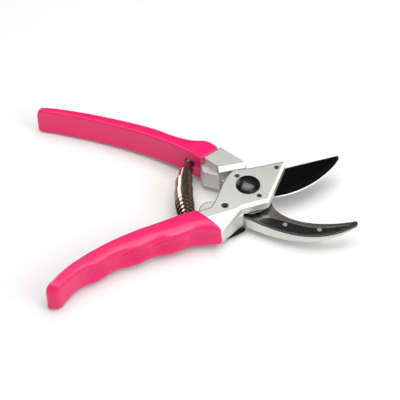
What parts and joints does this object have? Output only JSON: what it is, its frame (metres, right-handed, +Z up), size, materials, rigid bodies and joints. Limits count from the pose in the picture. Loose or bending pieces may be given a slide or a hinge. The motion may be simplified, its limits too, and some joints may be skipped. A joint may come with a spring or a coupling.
{
  "type": "bypass garden snips",
  "caption": "Bypass snips for flowers: cast handles with moulded grips turn on one bolt, a curved blade passes a hooked counter blade, a volute spring opens them and a thumb lever locks them.",
  "frame": {"origin": "on the pivot axis, at the flat underside of the pivot nut", "axes": "+X runs from the pivot between the open jaws, +Y towards the blade and the hook handle's grip, +Z up the pivot axis towards the bolt's head"},
  "size_m": [0.1757, 0.1382, 0.022],
  "materials": {
    "moulded_pink": "satin moulded grip plastic",
    "cast_aluminium": "satin, fine blasted grain with bright bevels",
    "coated_blade": "black low-friction coating, bare ground edge",
    "hook_steel": "ground and polished dark steel",
    "pin_steel": "bare steel",
    "black_head": "glossy black",
    "black_lever": "satin black",
    "spring_steel": "bright nickelled strip",
    "bush_bronze": "plain bronze"
  },
  "bodies": {
    "blade_handle": {"blade_handle_casting": "cast_aluminium", "blade_handle_grip": "moulded_pink", "cutting_blade": "coated_blade", "blade_pins": "pin_steel", "pivot_bolt": "black_head", "pivot_washer": "pin_steel", "pivot_nut": "pin_steel", "lock_pin": "pin_steel", "lock_spring_washer": "pin_steel", "volute_spring": "spring_steel"},
    "hook_handle": {"hook_handle_casting": "cast_aluminium", "hook_handle_grip": "moulded_pink", "counter_blade": "hook_steel", "counter_blade_rivets": "pin_steel", "pivot_bush": "bush_bronze", "lock_keeper_pin": "pin_steel"},
    "lock_lever": {"lock_lever": "black_lever"}
  },
  "joints": [
    {"name": "main_pivot", "type": "hinge", "parent": "blade_handle", "child": "hook_handle", "pos_m": [0, 0, 0], "axis": [0, 0, 1], "range_deg": [0, 49], "deforming": ["volute_spring"]},
    {"name": "lock_pivot", "type": "hinge", "parent": "blade_handle", "child": "lock_lever", "pos_m": [-0.0142, -0.0141, 0], "axis": [0, 0, 1], "range_deg": [-28, 0]}
  ]
}
